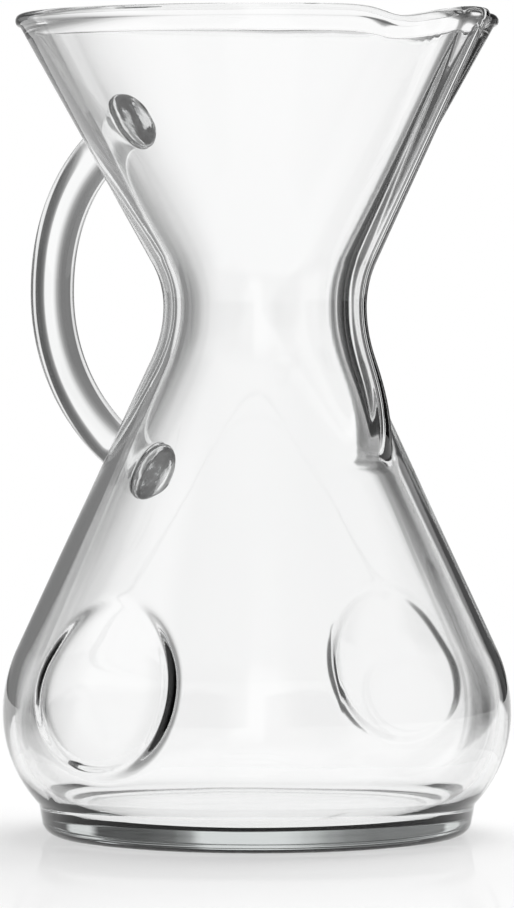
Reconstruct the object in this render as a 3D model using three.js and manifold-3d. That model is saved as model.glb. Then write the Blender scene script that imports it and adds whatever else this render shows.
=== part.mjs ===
// A pour-over coffee maker: a clear glass carafe drawn in at its waist, with a solid glass rod for a handle.
// Millimetres, +Z up. The carafe stands on z = 0 around the Z axis, its spout at +X and its handle at -X.
import * as THREE from "three";
import { mergeVertices } from "three/addons/utils/BufferGeometryUtils.js";
import Module from "manifold-3d";

const wasm = await Module();
wasm.setup();

// Carafe wall: heights above the table and radii of the outer surface
const wall = 3.5;
const waistWall = 5;
const rimHeight = 241;
const rimRadius = 71;
const beadRadius = 1.9;
const waistHeight = 155.5;
const waistRadius = 27.6;
const waistCurveAbove = 26;
const waistCurveBelow = 36;
const bellyHeight = 36;
const bellyRadius = 74.85;
const shoulderCurve = 45;
const heelCurve = 39;
const footHeight = 9.3;
const footRadius = 63.5;
const footCorner = 5;
const floorThickness = 6.5;
const floorRadius = 48;

// Spout and air channel, drawn out of the wall at +X
const channelRise = 10.9;
const channelHalfWidth = 8;
const channelFlare = 3.5;
const channelSharpness = 3.2;
const channelFadeStart = 150;
const channelEnd = 110;
const channelFadeSharpness = 3;
const channelTaper = 0.3;
const spoutDip = 3;
const spoutHalfWidth = 14;
const spoutSharpness = 3;
const spoutReachDown = 26;

// Finger grips, pressed into the flask at +Y and -Y along the wall's normal
const gripRadius = 25.5;
const gripHeight = 47;
const gripPress = 9.5;
const gripDraft = 1.2;
const gripFillet = 8;
const gripClear = 6;

// Handle: a rod between a seat on the funnel and a seat on the flask
const rodRadius = 6.6;
const handleReach = 80.5;
const handleHeight = 159.6;
const upperSeatDrop = 33.4;
const lowerSeatHeight = 108.3;
const upperLead = 15;
const lowerLead = 18;
const bowLead = 26;

// Buttons: the flared ends that join the rod to the wall and stand proud inside it
const buttonRadius = 9;
const buttonFlare = 4;
const buttonProud = 3;
const buttonRound = 1.6;
const seatGap = 0.3;

// Facets
const wallColumns = 56;
const columnBunching = 0.75;
const gripColumns = 28;
const buttonColumns = 24;
const rodSteps = 30;
const rodQuarterSides = 4;
const shortArcSteps = 3;
const longArcSteps = 4;
const spoutSteps = 3;
const tailSteps = 4;
const bowlSteps = 5;
const weldDistance = 1e-3;

const glass = { color: 0xe9efec, roughness: 0.02, metalness: 0, transparent: true, opacity: 0.35 };

// Profile points are (radius, height). Angles are in radians from the outward radius.
const at = (r, z) => new THREE.Vector2(r, z);
const heading = (angle) => at(Math.cos(angle), Math.sin(angle));
const onward = (from, direction, distance) => from.clone().addScaledVector(direction, distance);

function arc(centre, radius, from, to, steps) {
  return new THREE.EllipseCurve(centre.x, centre.y, radius, radius, from, to, to < from).getPoints(steps);
}

function line(from, to, steps) {
  return new THREE.LineCurve(from, to).getPoints(steps);
}

// Centres of the arcs that make the wall, and the lean of its two straight stretches
const rimCentre = at(rimRadius - beadRadius, rimHeight - beadRadius);
const waistAbove = at(waistRadius + waistCurveAbove, waistHeight);
const waistBelow = at(waistRadius + waistCurveBelow, waistHeight);
const shoulder = at(bellyRadius - shoulderCurve, bellyHeight);
const heel = at(bellyRadius - heelCurve, bellyHeight);
const outer = skin(0, 0);
const inner = skin(wall, waistWall);

// Lean from the vertical of the line that runs from beside one centre to another, radii apart in all
function leanOf(from, to, radii) {
  const span = to.clone().sub(from);
  return Math.atan2(span.x, span.y) + Math.asin(radii / span.length());
}

// One face of the wall: its depth in the glass, also at the waist, and the lean and normal of its straights
function skin(depth, waistDepth) {
  const funnelLean = leanOf(waistAbove, rimCentre, waistCurveAbove + waistDepth + wall / 2 - depth);
  const flaskLean = -leanOf(shoulder, waistBelow, depth - shoulderCurve - waistDepth - waistCurveBelow);
  const normals = { funnelNormal: heading(-funnelLean), flaskNormal: heading(flaskLean) };
  return { depth, waistDepth, funnelLean, flaskLean, ...normals };
}

// A skin's profile from the belly's widest line to just under the rim
function wallAbove({ depth, waistDepth, funnelLean, flaskLean, funnelNormal, flaskNormal }) {
  const tail = onward(shoulder, flaskNormal, shoulderCurve - depth);
  const neck = onward(waistBelow, flaskNormal, -waistCurveBelow - waistDepth);
  const tailShare = (channelEnd - tail.y) / (neck.y - tail.y);
  const funnelFoot = onward(waistAbove, funnelNormal, -waistCurveAbove - waistDepth);
  const rim = onward(rimCentre, funnelNormal, wall / 2 - depth);
  const beadFoot = onward(rim, heading(Math.PI / 2 - funnelLean), -Math.sqrt(beadRadius ** 2 - wall ** 2 / 4));
  const dipShare = (beadFoot.y - spoutReachDown - funnelFoot.y) / (beadFoot.y - funnelFoot.y);
  const dipFoot = funnelFoot.clone().lerp(beadFoot, dipShare);
  const channelTail = tail.clone().lerp(neck, tailShare);
  return [
    ...arc(shoulder, shoulderCurve - depth, 0, flaskLean, shortArcSteps),
    ...line(channelTail, neck, tailSteps),
    ...arc(waistBelow, waistCurveBelow + waistDepth, Math.PI + flaskLean, Math.PI, shortArcSteps).slice(1),
    ...arc(waistAbove, waistCurveAbove + waistDepth, Math.PI, Math.PI - funnelLean, longArcSteps).slice(1),
    ...line(dipFoot, beadFoot, spoutSteps),
  ];
}

// Outer surface from the middle of the underside to the belly
function footProfile() {
  const kink = Math.asin((bellyHeight - footHeight) / heelCurve);
  const corner = at(footRadius - footCorner, footCorner);
  return [
    at(0, 0),
    ...arc(corner, footCorner, -Math.PI / 2, 0, shortArcSteps),
    ...arc(heel, heelCurve, -kink, 0, longArcSteps).slice(0, -1),
  ];
}

// Inner surface from the belly to the middle of the floor
function floorProfile() {
  const spread = bellyRadius - wall - floorRadius;
  const rise = bellyHeight - floorThickness;
  const curve = new THREE.EllipseCurve(floorRadius, bellyHeight, spread, rise, 0, -Math.PI / 2, true);
  return [...curve.getPoints(bowlSteps).slice(1), at(0, floorThickness)];
}

function beadProfile() {
  const wrap = Math.acos(wall / 2 / beadRadius);
  const from = -outer.funnelLean - wrap;
  const to = Math.PI - inner.funnelLean + wrap;
  return arc(rimCentre, beadRadius, from, to, bowlSteps).slice(1, -1);
}

// Revolves a profile about Z
function revolve(profile, columns) {
  return new THREE.LatheGeometry(profile, columns).rotateX(Math.PI / 2);
}

function toSolid(geometry) {
  const bare = geometry.clone();
  bare.deleteAttribute("normal");
  bare.deleteAttribute("uv");
  const merged = mergeVertices(bare, weldDistance);
  const vertProperties = merged.getAttribute("position").array;
  const triVerts = new Uint32Array(merged.index.array);
  return new wasm.Manifold(new wasm.Mesh({ numProp: 3, vertProperties, triVerts }));
}

function toGeometry(solid) {
  const mesh = solid.getMesh();
  const geometry = new THREE.BufferGeometry();
  geometry.setAttribute("position", new THREE.BufferAttribute(mesh.vertProperties, 3));
  geometry.setIndex(new THREE.BufferAttribute(mesh.triVerts, 1));
  geometry.computeVertexNormals();
  return geometry;
}

// A rounded hump: full at its middle, half its height at the half width
const hump = (across, halfWidth, sharpness) => 1 / (1 + (Math.abs(across) / halfWidth) ** sharpness);

function channelStrength(height) {
  const past = THREE.MathUtils.clamp((channelFadeStart - height) / (channelFadeStart - channelEnd), 0, 1);
  return 1 - past ** channelFadeSharpness;
}

// Draws a point of the plain wall out into the channel, and down where the spout dips the rim
function drawOut(point, insideShare) {
  const strength = channelStrength(point.z);
  const above = THREE.MathUtils.clamp((point.z - waistHeight) / (rimHeight - waistHeight), 0, 1);
  const outerWidth = channelHalfWidth + channelFlare * above;
  const width = (outerWidth - wall * insideShare) * (1 - channelTaper * (1 - strength));
  const nearRim = THREE.MathUtils.smoothstep(point.z, rimHeight - spoutReachDown, rimHeight);
  const rise = channelRise * strength * hump(point.y, width, channelSharpness);
  const dip = spoutDip * nearRim * hump(point.y, spoutHalfWidth, spoutSharpness);
  point.x += rise;
  point.z -= dip;
}

// The revolved wall, with its columns bunched towards the channel, which is then drawn out of it
function wallGeometry() {
  const outside = [...footProfile(), ...wallAbove(outer)];
  const bead = beadProfile();
  const inside = [...wallAbove(inner).reverse(), ...floorProfile()];
  const profile = [...outside, ...bead, ...inside];
  const geometry = revolve(profile, wallColumns);
  const position = geometry.getAttribute("position");
  const point = new THREE.Vector3();
  for (let i = 0; i < position.count; i++) {
    point.fromBufferAttribute(position, i);
    const radius = Math.hypot(point.x, point.y);
    const turn = Math.atan2(point.y, point.x);
    const bunched = turn - columnBunching * Math.sin(turn);
    point.x = radius * Math.cos(bunched);
    point.y = radius * Math.sin(bunched);
    const ring = (i % profile.length) - outside.length;
    const insideShare = THREE.MathUtils.clamp((ring + 1) / (bead.length + 1), 0, 1);
    if (point.x > 0) drawOut(point, insideShare);
    position.setXYZ(i, point.x, point.y, point.z);
  }
  return geometry;
}

// The flask filled solid, which trims what a grip adds to the wall
function filledFlask() {
  const top = at(0, waistHeight);
  const flask = wallAbove(outer).filter((p) => p.y < waistHeight);
  return toSolid(revolve([...footProfile(), ...flask, top], wallColumns));
}

// The form that presses a grip, grown by the wall for its inner side, set on the wall at +Y
function gripForm(grow) {
  const tilt = Math.asin((gripHeight - bellyHeight) / shoulderCurve);
  const seat = onward(shoulder, heading(tilt), shoulderCurve);
  const floor = -gripPress - grow;
  const floorEdge = gripRadius - gripDraft + grow;
  const fillet = gripFillet + grow;
  const profile = [
    at(0, floor),
    ...arc(at(floorEdge - fillet, floor + fillet), fillet, -Math.PI / 2, 0, shortArcSteps),
    at(gripRadius + grow, gripClear),
    at(0, gripClear),
  ];
  return toSolid(new THREE.LatheGeometry(profile, gripColumns).rotateX(tilt).translate(0, seat.x, seat.y));
}

const halfTurn = (solid) => solid.rotate([0, 0, 180]);

// Where a button sits: a point of the outer wall at a height, and the wall's normal there
function seatOn(foot, normal, height) {
  const along = at(-normal.y, normal.x);
  return { point: onward(foot, along, (height - foot.y) / along.y), normal };
}

const { funnelNormal, flaskNormal } = outer;
const funnelFoot = onward(waistAbove, funnelNormal, -waistCurveAbove);
const shoulderTop = onward(shoulder, flaskNormal, shoulderCurve);
const upperSeat = seatOn(funnelFoot, funnelNormal, rimHeight - upperSeatDrop);
const lowerSeat = seatOn(shoulderTop, flaskNormal, lowerSeatHeight);

// Turns a shape revolved about its own Y axis to stand on a seat, at the handle's side
function standOn(geometry, seat) {
  const lift = Math.atan2(seat.normal.y, seat.normal.x);
  return geometry.rotateZ(lift - Math.PI / 2).rotateX(Math.PI / 2).translate(seat.point.x, 0, seat.point.y)
    .rotateZ(Math.PI);
}

function buttonGeometry(seat) {
  const back = -wall - buttonProud;
  const flare = new THREE.EllipseCurve(
    buttonRadius, buttonFlare, buttonRadius - rodRadius, buttonFlare, 1.5 * Math.PI, Math.PI, true);
  const round = at(buttonRadius - buttonRound, back + buttonRound);
  const profile = [
    at(0, back),
    ...arc(round, buttonRound, -Math.PI / 2, 0, shortArcSteps),
    ...flare.getPoints(longArcSteps),
    at(0, buttonFlare),
  ];
  return standOn(new THREE.LatheGeometry(profile, buttonColumns), seat);
}

function boreSolid(seat) {
  const radius = buttonRadius + seatGap;
  const reach = wall + buttonProud;
  const bore = new THREE.CylinderGeometry(radius, radius, 2 * reach, buttonColumns);
  return toSolid(standOn(bore, seat));
}

function carafeGeometry() {
  const dish = gripForm(wall).subtract(gripForm(0)).intersect(filledFlask());
  let body = toSolid(wallGeometry());
  for (const place of [(solid) => solid, halfTurn]) {
    body = body.subtract(place(gripForm(0))).add(place(dish));
  }
  for (const seat of [upperSeat, lowerSeat]) {
    body = body.subtract(boreSolid(seat));
  }
  return toGeometry(body);
}

// The rod leaves each button along the wall's normal and bows out between them
function handleGeometry() {
  const inPlane = (p) => new THREE.Vector3(-p.x, 0, p.y);
  const bow = at(handleReach, handleHeight);
  const up = at(0, 1);
  const start = onward(lowerSeat.point, flaskNormal, buttonFlare + seatGap);
  const end = onward(upperSeat.point, funnelNormal, buttonFlare + seatGap);
  const half = (points) => new THREE.CubicBezierCurve3(...points.map(inPlane));
  const path = new THREE.CurvePath();
  path.add(half([start, onward(start, flaskNormal, lowerLead), onward(bow, up, -bowLead), bow]));
  path.add(half([bow, onward(bow, up, bowLead), onward(end, funnelNormal, upperLead), end]));
  const section = new THREE.Shape().absarc(0, 0, rodRadius, 0, 2 * Math.PI);
  const facets = { steps: rodSteps, curveSegments: 2 * rodQuarterSides };
  return new THREE.ExtrudeGeometry(section, { extrudePath: path, ...facets });
}

function piece(name, geometry) {
  const mesh = new THREE.Mesh(geometry, new THREE.MeshStandardMaterial(glass));
  mesh.name = name;
  return mesh;
}

const coffeeMaker = new THREE.Group();
coffeeMaker.add(
  piece("carafe_body", carafeGeometry()),
  piece("handle", handleGeometry()),
  piece("upper_handle_button", buttonGeometry(upperSeat)),
  piece("lower_handle_button", buttonGeometry(lowerSeat)),
);

export default coffeeMaker;
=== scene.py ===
import math

import bmesh
import bpy
from mathutils import Matrix, Vector, noise


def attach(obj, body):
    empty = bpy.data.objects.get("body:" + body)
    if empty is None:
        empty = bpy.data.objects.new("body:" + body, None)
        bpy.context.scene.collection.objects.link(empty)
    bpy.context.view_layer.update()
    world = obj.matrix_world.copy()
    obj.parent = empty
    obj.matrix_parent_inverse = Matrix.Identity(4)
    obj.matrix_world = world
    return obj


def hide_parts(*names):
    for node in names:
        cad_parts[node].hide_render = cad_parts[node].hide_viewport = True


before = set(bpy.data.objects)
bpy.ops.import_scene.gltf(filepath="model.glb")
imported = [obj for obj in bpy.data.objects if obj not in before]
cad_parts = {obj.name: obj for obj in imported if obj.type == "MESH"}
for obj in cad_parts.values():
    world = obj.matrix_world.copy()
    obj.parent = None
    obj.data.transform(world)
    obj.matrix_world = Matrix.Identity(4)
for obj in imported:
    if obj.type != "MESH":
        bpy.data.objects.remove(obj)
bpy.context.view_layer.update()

scene = bpy.context.scene
scene.view_settings.view_transform = "Standard"
scene.cycles.max_bounces = 24
scene.cycles.transmission_bounces = 24

toMetres = 0.001  # sizes in the dictionaries are millimetres
mergeDistance = 0.002
shortestEdge = 0.001


def pointAt(radius, height):
    return Vector((radius, 0.0, height))


def heading(angle):  # direction in the profile's plane, from the outward radius
    return pointAt(math.cos(angle), math.sin(angle))


def smoothStep(share):
    share = min(max(share, 0.0), 1.0)
    return share * share * (3.0 - 2.0 * share)


# the profile is drawn with one vertex as the pen's tip
def startProfile(radius, height):
    bm = bmesh.new()
    return {"bm": bm, "tip": bm.verts.new(pointAt(radius, height))}


def runTo(pen, target, steps):
    start = pen["tip"].co.copy()
    for step in range(1, steps + 1):
        made = bmesh.ops.extrude_vert_indiv(pen["bm"], verts=[pen["tip"]])
        pen["tip"] = made["verts"][0]
        pen["tip"].co = start.lerp(target, step / steps)


def sweep(pen, centre, angle, steps):  # a positive angle turns from outwards to upwards
    made = bmesh.ops.spin(pen["bm"], geom=[pen["tip"]], cent=centre, axis=(0, -1, 0), angle=angle,
                          steps=steps)
    pen["tip"] = [part for part in made["geom_last"] if isinstance(part, bmesh.types.BMVert)][0]


def closeMesh(bm):
    bmesh.ops.remove_doubles(bm, verts=bm.verts, dist=mergeDistance)
    bmesh.ops.dissolve_degenerate(bm, edges=bm.edges, dist=shortestEdge)
    bmesh.ops.recalc_face_normals(bm, faces=bm.faces)


def finishPiece(name, bm, node, material):
    bmesh.ops.scale(bm, vec=(toMetres, toMetres, toMetres), verts=bm.verts)
    mesh = bpy.data.meshes.new(name)
    bm.to_mesh(mesh)
    bm.free()
    mesh.polygons.foreach_set("use_smooth", [True] * len(mesh.polygons))
    piece = bpy.data.objects.new(name, mesh)
    scene.collection.objects.link(piece)
    mesh.materials.append(material)
    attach(piece, "root")
    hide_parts(node)
    print(name, len(mesh.polygons), "faces")
    return piece


# clear glass with faint ripples from blowing
def makeGlass(name, look):
    material = bpy.data.materials.new(name)
    material.use_nodes = True
    nodes, links = material.node_tree.nodes, material.node_tree.links
    shader = nodes["Principled BSDF"]
    shader.inputs["Base Color"].default_value = (1.0, 1.0, 1.0, 1.0)
    shader.inputs["Transmission Weight"].default_value = 1.0
    shader.inputs["IOR"].default_value = look["ior"]
    place = nodes.new("ShaderNodeTexCoord")
    ripple = nodes.new("ShaderNodeTexNoise")
    ripple.inputs["Scale"].default_value = look["rippleScale"]
    ripple.inputs["Detail"].default_value = 2.0
    bump = nodes.new("ShaderNodeBump")
    bump.inputs["Strength"].default_value = look["rippleStrength"]
    bump.inputs["Distance"].default_value = look["rippleDepth"] * toMetres
    haze = nodes.new("ShaderNodeMapRange")
    haze.inputs["To Min"].default_value = 0.0
    haze.inputs["To Max"].default_value = look["haze"]
    links.new(place.outputs["Object"], ripple.inputs["Vector"])
    links.new(ripple.outputs["Fac"], bump.inputs["Height"])
    links.new(ripple.outputs["Fac"], haze.inputs["Value"])
    links.new(bump.outputs["Normal"], shader.inputs["Normal"])
    links.new(haze.outputs["Result"], shader.inputs["Roughness"])
    tint = nodes.new("ShaderNodeVolumeAbsorption")
    tint.inputs["Color"].default_value = look["tint"]
    tint.inputs["Density"].default_value = look["density"]
    links.new(tint.outputs["Volume"], nodes["Material Output"].inputs["Volume"])
    return material


carafeLook = {
    "ior": 1.47,
    "tint": (0.72, 0.75, 0.745, 1.0),
    "density": 12.0,
    "rippleScale": 26.0,
    "rippleStrength": 0.08,
    "rippleDepth": 1.0,
    "haze": 0.01,
}
rodLook = dict(carafeLook, rippleScale=40.0, rippleStrength=0.08)
buttonLook = dict(carafeLook, rippleScale=220.0, rippleStrength=0.4, haze=0.3)

carafeGlass = makeGlass("carafe_glass", carafeLook)
rodGlass = makeGlass("handle_glass", rodLook)
buttonGlass = makeGlass("button_glass", buttonLook)

carafe = {
    "wall": 3.5,
    "waistWall": 5.0,
    "rimWall": 2.4,
    "rimHeight": 241.0,
    "rimRadius": 71.0,
    "beadRadius": 1.9,
    "waistHeight": 155.5,
    "waistRadius": 27.6,
    "waistCurveAbove": 26.0,
    "waistCurveBelow": 36.0,
    "bellyHeight": 36.0,
    "bellyRadius": 74.85,
    "shoulderCurve": 45.0,
    "heelCurve": 39.0,
    "footHeight": 9.3,
    "footRadius": 63.5,
    "footCorner": 5.0,
    "floorThickness": 6.5,
    "floorRadius": 48.0,
    "fineTop": 78.0,  # rows lie close together up to this height, for the grips
    # turns in degrees from the channel, and the columns in each: channel, side, grip, back
    "columns": [(32.0, 34), (34.0, 12), (48.0, 80), (66.0, 20)],
    "wobble": 0.14,
    "wobbleScale": 0.03,
    "wobbleApart": 40.0,  # keeps the two skins from wobbling alike
}

channel = {
    "rise": 10.9,
    "wall": 2.2,
    "crestHalfWidth": 1.5,
    "crestRound": 7.5,
    "footRound": 9.0,
    "flankAngle": 58.0,
    "flare": 2.0,  # how much the crest and the rounding of the foot grow towards the rim
    "fadeStart": 150.0,
    "end": 110.0,
    "fadeSharpness": 3.0,
    "lipDip": 2.8,
    "lipDipAt": 17.0,
    "lipDipWidth": 8.0,
    "lipReachDown": 26.0,
}

grip = {
    "height": 43.5,
    "tilt": 17.0,
    "radius": 29.0,
    "stretch": 1.12,
    "press": 10.0,
    "dish": 3.0,  # the higher, the flatter the floor and the steeper the side
    "crispness": 1.6,
    "reachEnd": 1.5,  # in radii
}


def leanOf(start, end, radii):  # lean from the vertical of a line that touches two arcs
    span = end - start
    return math.atan2(span.x, span.z) + math.asin(radii / span.length)


rimCentre = pointAt(carafe["rimRadius"] - carafe["beadRadius"], carafe["rimHeight"] - carafe["beadRadius"])
waistAbove = pointAt(carafe["waistRadius"] + carafe["waistCurveAbove"], carafe["waistHeight"])
waistBelow = pointAt(carafe["waistRadius"] + carafe["waistCurveBelow"], carafe["waistHeight"])
shoulder = pointAt(carafe["bellyRadius"] - carafe["shoulderCurve"], carafe["bellyHeight"])
heel = pointAt(carafe["bellyRadius"] - carafe["heelCurve"], carafe["bellyHeight"])


def makeSkin(depth, waistDepth):  # one face of the wall, with the lean and normal of its straights
    rimSide = carafe["rimWall"] * (0.5 - depth / carafe["wall"])
    funnelLean = leanOf(waistAbove, rimCentre, carafe["waistCurveAbove"] + waistDepth + rimSide)
    flaskCurves = depth - carafe["shoulderCurve"] - waistDepth - carafe["waistCurveBelow"]
    flaskLean = -leanOf(shoulder, waistBelow, flaskCurves)
    return {
        "depth": depth,
        "funnelLean": funnelLean,
        "flaskLean": flaskLean,
        "shoulderTop": shoulder + heading(flaskLean) * (carafe["shoulderCurve"] - depth),
        "neckFoot": waistBelow - heading(flaskLean) * (carafe["waistCurveBelow"] + waistDepth),
        "funnelFoot": waistAbove - heading(-funnelLean) * (carafe["waistCurveAbove"] + waistDepth),
    }


outer = makeSkin(0.0, 0.0)
inner = makeSkin(carafe["wall"], carafe["waistWall"])
funnelNormal = heading(-outer["funnelLean"])
flaskNormal = heading(outer["flaskLean"])


def fineTop(skin):  # where the close rows end on the flask's straight side
    share = (carafe["fineTop"] - skin["shoulderTop"].z) / (skin["neckFoot"].z - skin["shoulderTop"].z)
    return skin["shoulderTop"].lerp(skin["neckFoot"], share)


def drawCarafeProfile():
    kink = math.asin((carafe["bellyHeight"] - carafe["footHeight"]) / carafe["heelCurve"])
    footCentre = pointAt(carafe["footRadius"] - carafe["footCorner"], carafe["footCorner"])
    wrap = math.acos(carafe["rimWall"] / 2 / carafe["beadRadius"])
    beadStart = -outer["funnelLean"] - wrap
    beadEnd = math.pi - inner["funnelLean"] + wrap
    pen = startProfile(0.0, 0.0)
    bm = pen["bm"]
    # outer skin, from the middle of the underside to the rim
    runTo(pen, pointAt(footCentre.x, 0.0), 4)
    sweep(pen, footCentre, math.pi / 2, 6)
    runTo(pen, heel + heading(-kink) * carafe["heelCurve"], 2)
    sweep(pen, heel, kink, 34)
    sweep(pen, shoulder, outer["flaskLean"], 22)
    runTo(pen, fineTop(outer), 28)
    runTo(pen, outer["neckFoot"], 26)
    sweep(pen, waistBelow, -outer["flaskLean"], 9)
    sweep(pen, waistAbove, -outer["funnelLean"], 9)
    runTo(pen, rimCentre + heading(beadStart) * carafe["beadRadius"], 18)
    outside = len(bm.verts)
    sweep(pen, rimCentre, beadEnd - beadStart, 12)
    bead = len(bm.verts)
    # inner skin, from the rim to the middle of the floor
    runTo(pen, inner["funnelFoot"], 18)
    sweep(pen, waistAbove, inner["funnelLean"], 9)
    sweep(pen, waistBelow, inner["flaskLean"], 9)
    runTo(pen, fineTop(inner), 26)
    runTo(pen, inner["shoulderTop"], 28)
    sweep(pen, shoulder, -inner["flaskLean"], 22)
    belly = len(bm.verts)
    bowlCentre = pointAt(carafe["floorRadius"], carafe["bellyHeight"])
    sweep(pen, bowlCentre, -math.pi / 2, 34)
    bm.verts.ensure_lookup_table()
    spread = carafe["bellyRadius"] - carafe["wall"] - carafe["floorRadius"]
    rise = carafe["bellyHeight"] - carafe["floorThickness"]
    bmesh.ops.scale(bm, vec=(1, 1, rise / spread), space=Matrix.Translation(-bowlCentre),
                    verts=bm.verts[belly:])
    runTo(pen, pointAt(0.0, carafe["floorThickness"]), 4)
    # each vertex remembers how far it is from the outer skin to the inner one
    depth = bm.verts.layers.float.new("depth")
    for index, vert in enumerate(bm.verts):
        vert[depth] = min(max((index - outside + 1) / (bead - outside), 0.0), 1.0)
    return bm


def wallAt(spot):  # the wall is thickest at the waist
    end, endWall = carafe["bellyHeight"], carafe["wall"]
    if spot.z > carafe["waistHeight"]:
        end, endWall = rimCentre.z, carafe["rimWall"]
    share = min(max((spot.z - carafe["waistHeight"]) / (end - carafe["waistHeight"]), 0.0), 1.0)
    return carafe["waistWall"] + (endWall - carafe["waistWall"]) * share


def channelSection(across, rise, flare, depth):  # crest, round, straight flank, round, wall
    lean = math.radians(channel["flankAngle"])
    crest, foot = channel["crestRound"], channel["footRound"] + flare
    straight = max(rise - (crest + foot) * (1.0 - math.cos(lean)), 0.0) / math.tan(lean)
    crest -= channel["wall"] * depth
    foot += channel["wall"] * depth
    past = max(abs(across) - channel["crestHalfWidth"] - flare, 0.0)
    flankTop = crest * math.sin(lean)
    flankEnd = flankTop + straight
    left = flankEnd + foot * math.sin(lean) - past
    if past < flankTop:
        return rise - crest + math.sqrt(crest**2 - past**2)
    if past < flankEnd:
        return rise - crest * (1.0 - math.cos(lean)) - (past - flankTop) * math.tan(lean)
    return foot - math.sqrt(foot**2 - left**2) if left > 0.0 else 0.0


def drawChannel(vert, depth):
    past = (channel["fadeStart"] - vert.co.z) / (channel["fadeStart"] - channel["end"])
    strength = 1.0 - min(max(past, 0.0), 1.0) ** channel["fadeSharpness"]
    above = (vert.co.z - carafe["waistHeight"]) / (carafe["rimHeight"] - carafe["waistHeight"])
    flare = channel["flare"] * min(max(above, 0.0), 1.0)
    share = channelSection(vert.co.y, channel["rise"], flare, depth) / channel["rise"]
    thinned = depth * (wallAt(vert.co) - channel["wall"])
    aboveLip = vert.co.z - carafe["rimHeight"] + channel["lipReachDown"]
    nearRim = smoothStep(aboveLip / channel["lipReachDown"])
    beside = (abs(vert.co.y) - channel["lipDipAt"]) / channel["lipDipWidth"]
    dip = channel["lipDip"] * nearRim * math.exp(-beside**2)
    vert.co += Vector(((channel["rise"] + thinned) * share * strength, 0.0, -dip))


# a dished tool pushes in whatever stands proud of it, and the inside follows at the wall's thickness
def pressGrip(vert, depth, side):
    slant = math.asin((grip["height"] - carafe["bellyHeight"]) / carafe["shoulderCurve"])
    seat = shoulder + heading(slant) * carafe["shoulderCurve"]
    tilt = math.radians(grip["tilt"])
    normal = Vector((0.0, side * math.cos(tilt), math.sin(tilt)))
    upward = Vector((0.0, -side * math.sin(tilt), math.cos(tilt)))
    offset = vert.co - Vector((0.0, side * seat.x, seat.z))
    reach = Vector((offset.x, offset.dot(upward) / grip["stretch"])).length / grip["radius"]
    if reach < grip["reachEnd"]:
        slope = grip["press"] * grip["dish"] / grip["radius"] * reach ** (grip["dish"] - 1.0)
        tool = grip["press"] * (reach ** grip["dish"] - 1.0) - depth * carafe["wall"] * math.hypot(1.0, slope)
        proud = grip["crispness"] * (offset.dot(normal) - tool)
        vert.co -= normal * (math.log1p(math.exp(proud)) / grip["crispness"])


def buildCarafe():
    bm = drawCarafeProfile()
    ring = bm.verts[:] + bm.edges[:]
    for turn, steps in carafe["columns"]:
        made = bmesh.ops.spin(bm, geom=ring, cent=(0, 0, 0), axis=(0, 0, 1), angle=math.radians(turn),
                              steps=steps)
        ring = made["geom_last"]
    half = bm.verts[:] + bm.edges[:] + bm.faces[:]
    bmesh.ops.mirror(bm, geom=half, matrix=Matrix(), merge_dist=mergeDistance, axis="Y")
    closeMesh(bm)
    depth = bm.verts.layers.float["depth"]
    for vert in bm.verts:
        if vert.co.x > 0.0 and vert.co.z > channel["end"]:
            drawChannel(vert, vert[depth])
        if abs(vert.co.y) > carafe["floorRadius"]:
            pressGrip(vert, vert[depth], math.copysign(1.0, vert.co.y))
        # the wall is never quite even, on either skin
        if vert.co.z > carafe["footCorner"]:
            spot = vert.co * carafe["wobbleScale"] + Vector((0.0, 0.0, carafe["wobbleApart"] * vert[depth]))
            outward = Vector((vert.co.x, vert.co.y, 0.0)).normalized()
            vert.co += outward * carafe["wobble"] * noise.noise(spot)
    return finishPiece("carafe", bm, "carafe_body", carafeGlass)


handle = {
    "rodRadius": 6.6,
    "reach": 80.5,
    "height": 159.6,
    "upperSeatHeight": 207.6,
    "lowerSeatHeight": 108.3,
    "upperLead": 15.0,
    "lowerLead": 18.0,
    "bowLead": 26.0,
    "flareRadius": 9.2,
    "flareLength": 9.0,
    "sunkInWall": 1.5,
    "stations": 40,
    "sides": 48,
}

button = {
    "radius": 9.0,
    "proud": 2.2,
    "round": 1.9,
    "sunkInWall": 1.2,
    "unevenness": 0.5,
    "waveScale": 0.22,
    "seatShift": 0.1,  # makes the two buttons differ
    "outlineUneven": 0.05,
    "outlineScale": 1.4,
}


def seatOn(foot, normal, height):  # a point of the outer wall at a height
    along = Vector((-normal.z, 0.0, normal.x))
    return foot + along * ((height - foot.z) / along.z)


upperSeat = seatOn(outer["funnelFoot"], funnelNormal, handle["upperSeatHeight"])
lowerSeat = seatOn(outer["shoulderTop"], flaskNormal, handle["lowerSeatHeight"])


def bezierAt(points, share):
    a, b, c, d = points
    rest = 1.0 - share
    spot = a * rest**3 + b * (3 * rest**2 * share) + c * (3 * rest * share**2) + d * share**3
    slope = (b - a) * (rest**2) + (c - b) * (2 * rest * share) + (d - c) * (share**2)
    return spot, slope.normalized()


def rodStations():
    start = lowerSeat - flaskNormal * handle["sunkInWall"]
    end = upperSeat - funnelNormal * handle["sunkInWall"]
    bow = pointAt(handle["reach"], handle["height"])
    up = pointAt(0.0, handle["bowLead"])
    lower = [start, lowerSeat + flaskNormal * handle["lowerLead"], bow - up, bow]
    upper = [bow, bow + up, upperSeat + funnelNormal * handle["upperLead"], end]
    shares = [smoothStep(step / handle["stations"] / 2) * 2 for step in range(handle["stations"] + 1)]
    stations = [bezierAt(lower, share) for share in shares]
    stations += [bezierAt(upper, 1.0 - share) for share in reversed(shares[:-1])]
    return stations


def stationFrame(spot, slope, radius):  # the handle stands at the -X side
    ahead = Vector((-slope.x, 0.0, slope.z))
    across = Vector((0.0, 1.0, 0.0))
    turned = Matrix((across * radius, ahead.cross(across) * radius, ahead)).transposed().to_4x4()
    turned.translation = Vector((-spot.x, 0.0, spot.z))
    return turned


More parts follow.
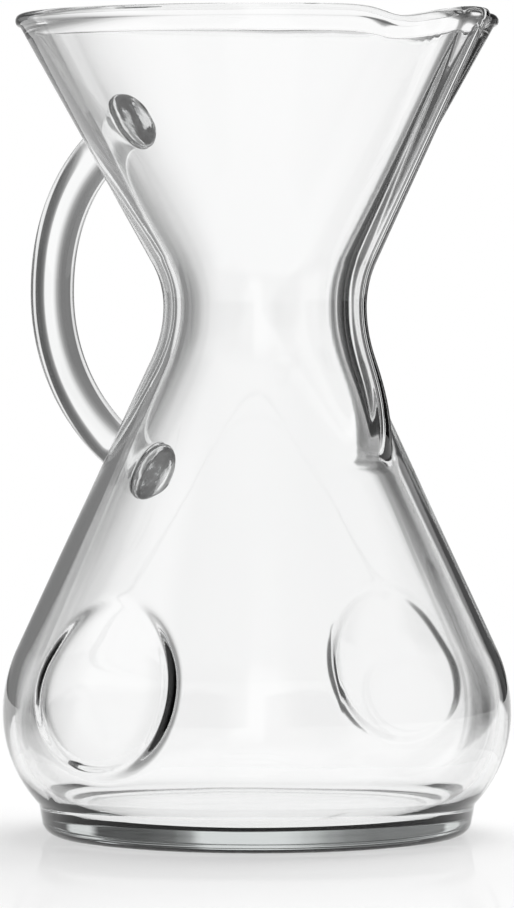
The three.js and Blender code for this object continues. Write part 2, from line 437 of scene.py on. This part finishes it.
def rodRadiusAt(spot):
    nearest = min((spot - lowerSeat).length, (spot - upperSeat).length)
    left = max(1.0 - nearest / handle["flareLength"], 0.0)
    return handle["rodRadius"] + (handle["flareRadius"] - handle["rodRadius"]) * left**2


def buildHandle():
    bm = bmesh.new()
    frames = [stationFrame(spot, slope, rodRadiusAt(spot)) for spot, slope in rodStations()]
    bmesh.ops.create_circle(bm, cap_ends=True, segments=handle["sides"], radius=1.0, matrix=frames[0])
    edges = bm.edges[:]
    for before, after in zip(frames, frames[1:]):
        made = bmesh.ops.extrude_edge_only(bm, edges=edges)["geom"]
        verts = [part for part in made if isinstance(part, bmesh.types.BMVert)]
        edges = [part for part in made if isinstance(part, bmesh.types.BMEdge)]
        edges = [edge for edge in edges if all(vert in verts for vert in edge.verts)]
        bmesh.ops.transform(bm, matrix=after @ before.inverted(), verts=verts)
    bmesh.ops.contextual_create(bm, geom=edges)
    closeMesh(bm)
    return finishPiece("handle_rod", bm, "handle", rodGlass)


def buildButton(name, node, seat, normal):
    pen = startProfile(0.0, -button["proud"])
    bm = pen["bm"]
    runTo(pen, pointAt(button["radius"] - button["round"], -button["proud"]), 8)
    sweep(pen, pointAt(button["radius"] - button["round"], button["round"] - button["proud"]), math.pi / 2, 8)
    runTo(pen, pointAt(button["radius"], button["sunkInWall"]), 3)
    runTo(pen, pointAt(0.0, button["sunkInWall"]), 5)
    bmesh.ops.spin(bm, geom=bm.verts[:] + bm.edges[:], cent=(0, 0, 0), axis=(0, 0, 1), angle=2 * math.pi,
                   steps=48, use_merge=True)
    closeMesh(bm)
    # the face was pressed by hand, so it is uneven
    for vert in bm.verts:
        spot = vert.co * button["waveScale"] + seat * button["seatShift"]
        share = min(max(-vert.co.z / button["proud"], 0.0), 1.0)
        vert.co.z += button["unevenness"] * share * noise.noise(spot)
        around = vert.co.normalized() * button["outlineScale"] + seat
        vert.co.xy *= 1.0 + button["outlineUneven"] * noise.noise(around)
    outward = Vector((-normal.x, 0.0, normal.z))
    place = Vector((-seat.x, 0.0, seat.z)) - outward * wallAt(seat)
    bmesh.ops.transform(bm, matrix=outward.to_track_quat("Z", "Y").to_matrix().to_4x4(), verts=bm.verts)
    bmesh.ops.translate(bm, vec=place, verts=bm.verts)
    return finishPiece(name, bm, node, buttonGlass)


buildCarafe()
buildHandle()
buildButton("upper_button", "upper_handle_button", upperSeat, funnelNormal)
buildButton("lower_button", "lower_handle_button", lowerSeat, flaskNormal)


studio = {
    "azimuth": 39.5,
    "distance": 1.611,
    "height": 0.158,
    "aim": (0.0, 0.0, 0.112),
    "lens": 217.0,
    "floorSize": 6.0,
    "floorDrop": 0.0003,
    "floorFade": (0.16, 0.42),  # from the lit table to plain white
    "floorGlow": 0.45,  # share of painted white glow in the table, painted light that keeps the shadow light
    "floorThroughGlass": 0.85,  # share of painted white glow where the table is seen through the glass, standing in for the light the glass lets through onto it
    "tableColour": (0.97, 0.97, 0.97, 1.0),
    "tableRoughness": 0.06,
    "tablePolish": 0.2,
    "ambient": 0.6,
}

softbox = {
    "turn": 150.0,  # from the camera
    "distance": 0.5,
    "height": 1.3,
    "size": (1.2, 0.9),
    "power": 14.0,
}

sweepStage = {
    "innerRadius": 0.15,
    "nearFade": (0.15, 0.55),  # from the lit table round the foot to the lanes
    "nearGlow": 0.7,
    "radius": 1.5,
    "height": 0.4,
    "top": 2.4,
    "fadeUp": (0.8, 2.2),  # heights over which the lanes fade towards the top
    "laneHalfWidth": 0.06,
    # brightness of a lane at degrees off its side, to the right and to the left
    "wideLane": (
        [(6.0, 1.0), (9.0, 0.32), (12.0, 0.14), (18.0, 0.07), (38.0, 0.05)],
        [
            (1.5, 1.0), (3.5, 0.9), (5.8, 0.72), (9.7, 0.42), (13.0, 0.28), (18.0, 0.21),
            (45.0, 0.22), (60.0, 0.34), (85.0, 0.34), (110.0, 0.05),
        ],
    ),
    "narrowLane": ([(1.8, 0.92), (6.0, 0.05)], [(1.8, 0.92), (6.0, 0.05)]),
    "frontLane": ([(12.0, 0.95), (34.0, 0.05)], [(12.0, 0.95), (34.0, 0.05)]),
    # a lane stands behind the object for each side it is seen from, and one lights the buttons
    "lanes": [
        (219.5, "wideLane"), (45.0, "wideLane"), (270.0, "narrowLane"), (180.0, "narrowLane"),
        (320.5, "frontLane"),
    ],
    "shade": 0.05,
    "ceiling": 0.75,
    "ceilingFade": (1.2, 2.4),  # heights over which the card brightens towards the ceiling
}


def standAt(azimuth, distance, height):
    turn = math.radians(azimuth)
    return Vector((distance * math.sin(turn), -distance * math.cos(turn), height))


def addCamera():
    camera = bpy.data.objects.new("camera", bpy.data.cameras.new("camera"))
    scene.collection.objects.link(camera)
    camera.location = standAt(studio["azimuth"], studio["distance"], studio["height"])
    camera.rotation_euler = (Vector(studio["aim"]) - camera.location).to_track_quat("-Z", "Y").to_euler()
    camera.data.lens = studio["lens"]
    camera.data.sensor_width = 36.0
    camera.data.clip_start = 0.01
    scene.camera = camera


def stagePiece(name, bm, material):
    mesh = bpy.data.meshes.new(name)
    bm.to_mesh(mesh)
    bm.free()
    mesh.materials.append(material)
    piece = bpy.data.objects.new(name, mesh)
    scene.collection.objects.link(piece)
    return piece


def addFloor():
    material = bpy.data.materials.new("white_table")
    material.use_nodes = True
    nodes, links = material.node_tree.nodes, material.node_tree.links
    nodes.clear()
    output = nodes.new("ShaderNodeOutputMaterial")
    matt = nodes.new("ShaderNodeBsdfDiffuse")
    matt.inputs["Color"].default_value = studio["tableColour"]
    gloss = nodes.new("ShaderNodeBsdfGlossy")
    gloss.inputs["Roughness"].default_value = studio["tableRoughness"]
    polish = nodes.new("ShaderNodeMixShader")
    polish.inputs["Fac"].default_value = studio["tablePolish"]
    # white glow: plain white far from the foot; near the foot and under the glass it is painted light that
    # lightens the shadow
    white = nodes.new("ShaderNodeEmission")
    place = nodes.new("ShaderNodeTexCoord")
    distance = nodes.new("ShaderNodeVectorMath")
    distance.operation = "LENGTH"
    fade = nodes.new("ShaderNodeMapRange")
    fade.interpolation_type = "SMOOTHSTEP"
    fade.inputs["From Min"].default_value, fade.inputs["From Max"].default_value = studio["floorFade"]
    fade.inputs["To Min"].default_value = studio["floorGlow"]
    # for rays through the glass the table glows brighter: painted light under and behind the glass
    path = nodes.new("ShaderNodeLightPath")
    glass = nodes.new("ShaderNodeMath")
    glass.operation = "MULTIPLY"
    glass.inputs[1].default_value = studio["floorThroughGlass"]
    share = nodes.new("ShaderNodeMath")
    share.operation = "MAXIMUM"
    away = nodes.new("ShaderNodeMixShader")
    links.new(place.outputs["Object"], distance.inputs[0])
    links.new(distance.outputs["Value"], fade.inputs["Value"])
    links.new(matt.outputs["BSDF"], polish.inputs[1])
    links.new(gloss.outputs["BSDF"], polish.inputs[2])
    links.new(path.outputs["Is Transmission Ray"], glass.inputs[0])
    links.new(fade.outputs["Result"], share.inputs[0])
    links.new(glass.outputs["Value"], share.inputs[1])
    links.new(share.outputs["Value"], away.inputs["Fac"])
    links.new(polish.outputs["Shader"], away.inputs[1])
    links.new(white.outputs["Emission"], away.inputs[2])
    links.new(away.outputs["Shader"], output.inputs["Surface"])
    bm = bmesh.new()
    bmesh.ops.create_grid(bm, x_segments=2, y_segments=2, size=studio["floorSize"])
    bmesh.ops.translate(bm, vec=(0, 0, -studio["floorDrop"]), verts=bm.verts)
    stagePiece("floor", bm, material)


def fadeAlong(steps, off):
    before = steps[0]
    for after in steps[1:]:
        if off < after[0]:
            share = smoothStep((off - before[0]) / (after[0] - before[0]))
            return before[1] + (after[1] - before[1]) * share
        before = after
    return before[1]


def laneGlow(spot):  # bright straight behind the object, fading to the sides
    shade = sweepStage["shade"]
    low, high = sweepStage["fadeUp"]
    glow = shade
    for azimuth, lane in sweepStage["lanes"]:
        ahead = standAt(azimuth, 1.0, 0.0)
        along = ahead.x * spot.x + ahead.y * spot.y
        beside = ahead.x * spot.y - ahead.y * spot.x
        if along > 0.0:
            off = math.degrees(math.atan2(max(abs(beside) - sweepStage["laneHalfWidth"], 0.0), along))
            lit = fadeAlong(sweepStage[lane][beside > 0.0], off)
            glow = max(glow, shade + (lit - shade) * (1.0 - smoothStep((spot.z - low) / (high - low))))
    wallEnd, ceilingStart = sweepStage["ceilingFade"]
    glow = max(glow, sweepStage["ceiling"] * smoothStep((spot.z - wallEnd) / (ceilingStart - wallEnd)))
    start, end = sweepStage["nearFade"]
    near = 1.0 - smoothStep((spot.length - start) / (end - start))
    return max(glow, sweepStage["nearGlow"] * near)


# cards round the object, lit in lanes, which only the glass sees: they draw its edges
def addCard(name, start, stops, seenInGloss):
    material = bpy.data.materials.new(name)
    material.use_nodes = True
    nodes, links = material.node_tree.nodes, material.node_tree.links
    nodes.clear()
    output = nodes.new("ShaderNodeOutputMaterial")
    light = nodes.new("ShaderNodeEmission")
    glow = nodes.new("ShaderNodeAttribute")
    glow.attribute_name = "glow"
    links.new(glow.outputs["Fac"], light.inputs["Strength"])
    links.new(light.outputs["Emission"], output.inputs["Surface"])
    pen = startProfile(*start)
    for radius, height, steps in stops:
        runTo(pen, pointAt(radius, height), steps)
    bm = pen["bm"]
    bmesh.ops.spin(bm, geom=bm.verts[:] + bm.edges[:], cent=(0, 0, 0), axis=(0, 0, 1), angle=2 * math.pi,
                   steps=360, use_merge=True)
    layer = bm.verts.layers.float.new("glow")
    for vert in bm.verts:
        vert[layer] = laneGlow(vert.co)
    card = stagePiece(name, bm, material)
    card.visible_camera = False
    card.visible_diffuse = False
    card.visible_shadow = False
    card.visible_glossy = seenInGloss


def addSweep():
    edge, height, top = sweepStage["radius"], sweepStage["height"], sweepStage["top"]
    addCard("table_card", (sweepStage["innerRadius"], 0.0), [(edge, 0.0, 40)], False)
    addCard("sweep_card", (edge, 0.0), [(edge, height, 4), (edge, top, 20), (0.0, top, 4)], True)


def addWorld():
    world = bpy.data.worlds.new("studio")
    scene.world = world
    world.use_nodes = True
    nodes, links = world.node_tree.nodes, world.node_tree.links
    background = nodes["Background"]
    background.inputs["Color"].default_value = (1.0, 1.0, 1.0, 1.0)
    path = nodes.new("ShaderNodeLightPath")
    seen = nodes.new("ShaderNodeMath")
    seen.operation = "MAXIMUM"
    through = nodes.new("ShaderNodeMath")
    through.operation = "MAXIMUM"
    strength = nodes.new("ShaderNodeMapRange")
    strength.inputs["To Min"].default_value = studio["ambient"]
    strength.inputs["To Max"].default_value = 1.0
    links.new(path.outputs["Is Camera Ray"], seen.inputs[0])
    links.new(path.outputs["Is Glossy Ray"], seen.inputs[1])
    links.new(seen.outputs["Value"], through.inputs[0])
    links.new(path.outputs["Is Transmission Ray"], through.inputs[1])
    links.new(through.outputs["Value"], strength.inputs["Value"])
    links.new(strength.outputs["Result"], background.inputs["Strength"])


def addSoftbox():
    lamp = bpy.data.objects.new("overhead_softbox", bpy.data.lights.new("overhead_softbox", "AREA"))
    scene.collection.objects.link(lamp)
    lamp.data.shape = "RECTANGLE"
    lamp.data.size, lamp.data.size_y = softbox["size"]
    lamp.data.energy = softbox["power"]
    lamp.visible_glossy = False
    lamp.visible_transmission = False
    lamp.location = standAt(studio["azimuth"] + softbox["turn"], softbox["distance"], softbox["height"])
    lamp.rotation_euler = (Vector(studio["aim"]) - lamp.location).to_track_quat("-Z", "Y").to_euler()


addCamera()
addFloor()
addSweep()
addWorld()
addSoftbox()
print("studio set")
